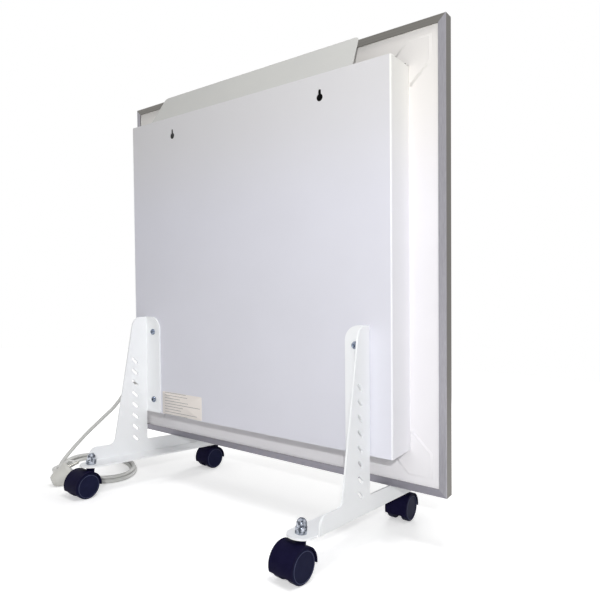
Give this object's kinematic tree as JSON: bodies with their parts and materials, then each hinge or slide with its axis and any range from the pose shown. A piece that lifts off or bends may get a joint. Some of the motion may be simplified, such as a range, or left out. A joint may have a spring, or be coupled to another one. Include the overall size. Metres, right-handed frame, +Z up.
{
  "type": "infrared panel heater",
  "caption": "Square infrared panel heater with a rear air duct, on folded sheet legs with swivel casters, with its cord and plug.",
  "frame": {"origin": "on the floor, in the middle of the footprint of the heater without its free cord", "axes": "+Z up, +X to the side where the supply cord leaves, +Y to the back, where the legs and the duct cover are; the radiating face looks to -Y"},
  "size_m": [0.7012, 0.318, 0.6675],
  "materials": {
    "front_enamel": "smooth white enamel",
    "heating_foil": "dark carrier foil with a carbon track",
    "mineral_board": "pressed mineral-fibre board",
    "white_powder_coat": "white powder coat, satin",
    "leg_powder_coat": "white powder coat, satin",
    "white_seal": "white closed-cell strip",
    "frame_aluminium": "satin anodised extrusion",
    "zinc_steel": "bright zinc plate",
    "black_zinc": "blackened steel",
    "ceramic": "glazed ceramic",
    "wire_silicone": "silicone-insulated cores",
    "dark_rubber": "heat-resistant rubber",
    "brass_screw": "plain brass",
    "cord_pvc": "light grey-white cord sheath",
    "tie_plastic": "white plastic-covered wire tie",
    "plug_plastic": "moulded light grey plastic",
    "nickel_pins": "nickel-plated pins",
    "chrome_nut": "bright plated cap nuts",
    "black_plastic": "black nylon",
    "wheel_plastic": "black nylon with a faint blue tint"
  },
  "bodies": {
    "heater": {"front_panel": "front_enamel", "heating_mat": "heating_foil", "insulation_board": "mineral_board", "back_pan": "white_powder_coat", "pan_seal": "white_seal", "frame_top": "frame_aluminium", "frame_bottom": "frame_aluminium", "frame_left": "frame_aluminium", "frame_right": "frame_aluminium", "corner_keys": "zinc_steel", "cover_back": "white_powder_coat", "cover_side_left": "white_powder_coat", "cover_side_right": "white_powder_coat", "cover_flap": "white_powder_coat", "cover_rivets": "zinc_steel", "clinch_nuts": "zinc_steel", "terminal_block": "ceramic", "thermal_cutout": "ceramic", "internal_wires": "wire_silicone", "lead_grommet": "dark_rubber", "earth_screw": "brass_screw", "strain_relief": "cord_pvc", "relief_nut": "cord_pvc", "leg_left": "leg_powder_coat", "leg_right": "leg_powder_coat", "leg_screws_left": "zinc_steel", "leg_screws_right": "zinc_steel", "caster_studs": "black_zinc", "cap_nuts": "chrome_nut", "supply_cord": "cord_pvc", "cord_coil": "cord_pvc", "coil_tie": "tie_plastic", "plug_body": "plug_plastic", "plug_pins": "nickel_pins"},
    "front_left_caster": {"front_left_hood": "black_plastic", "front_left_axle": "zinc_steel"},
    "front_left_outer_wheel": {"front_left_wheel_outer": "wheel_plastic"},
    "front_left_inner_wheel": {"front_left_wheel_inner": "wheel_plastic"},
    "front_right_caster": {"front_right_hood": "black_plastic", "front_right_axle": "zinc_steel"},
    "front_right_outer_wheel": {"front_right_wheel_outer": "wheel_plastic"},
    "front_right_inner_wheel": {"front_right_wheel_inner": "wheel_plastic"},
    "back_left_caster": {"back_left_hood": "black_plastic", "back_left_axle": "zinc_steel"},
    "back_left_outer_wheel": {"back_left_wheel_outer": "wheel_plastic"},
    "back_left_inner_wheel": {"back_left_wheel_inner": "wheel_plastic"},
    "back_right_caster": {"back_right_hood": "black_plastic", "back_right_axle": "zinc_steel"},
    "back_right_outer_wheel": {"back_right_wheel_outer": "wheel_plastic"},
    "back_right_inner_wheel": {"back_right_wheel_inner": "wheel_plastic"}
  },
  "joints": [
    {"name": "front_left_swivel", "type": "hinge", "parent": "heater", "child": "front_left_caster", "pos_m": [-0.20025, -0.14274, 0.044], "axis": [0, 0, 1], "continuous": true},
    {"name": "front_left_outer_spin", "type": "hinge", "parent": "front_left_caster", "child": "front_left_outer_wheel", "pos_m": [-0.20025, -0.13174, 0.019], "axis": [1, 0, 0], "continuous": true},
    {"name": "front_left_inner_spin", "type": "hinge", "parent": "front_left_caster", "child": "front_left_inner_wheel", "pos_m": [-0.20025, -0.13174, 0.019], "axis": [1, 0, 0], "continuous": true},
    {"name": "front_right_swivel", "type": "hinge", "parent": "heater", "child": "front_right_caster", "pos_m": [0.20025, -0.14274, 0.044], "axis": [0, 0, 1], "continuous": true},
    {"name": "front_right_outer_spin", "type": "hinge", "parent": "front_right_caster", "child": "front_right_outer_wheel", "pos_m": [0.2014, -0.1318, 0.019], "axis": [0.9945, -0.1045, 0], "continuous": true},
    {"name": "front_right_inner_spin", "type": "hinge", "parent": "front_right_caster", "child": "front_right_inner_wheel", "pos_m": [0.2014, -0.1318, 0.019], "axis": [0.9945, -0.1045, 0], "continuous": true},
    {"name": "back_left_swivel", "type": "hinge", "parent": "heater", "child": "back_left_caster", "pos_m": [-0.20025, 0.12526, 0.044], "axis": [0, 0, 1], "continuous": true},
    {"name": "back_left_outer_spin", "type": "hinge", "parent": "back_left_caster", "child": "back_left_outer_wheel", "pos_m": [-0.19929, 0.13622, 0.019], "axis": [0.9962, -0.0872, 0], "continuous": true},
    {"name": "back_left_inner_spin", "type": "hinge", "parent": "back_left_caster", "child": "back_left_inner_wheel", "pos_m": [-0.19929, 0.13622, 0.019], "axis": [0.9962, -0.0872, 0], "continuous": true},
    {"name": "back_right_swivel", "type": "hinge", "parent": "heater", "child": "back_right_caster", "pos_m": [0.20025, 0.12526, 0.044], "axis": [0, 0, 1], "continuous": true},
    {"name": "back_right_outer_spin", "type": "hinge", "parent": "back_right_caster", "child": "back_right_outer_wheel", "pos_m": [0.20025, 0.13626, 0.019], "axis": [1, 0, 0], "continuous": true},
    {"name": "back_right_inner_spin", "type": "hinge", "parent": "back_right_caster", "child": "back_right_inner_wheel", "pos_m": [0.20025, 0.13626, 0.019], "axis": [1, 0, 0], "continuous": true}
  ]
}
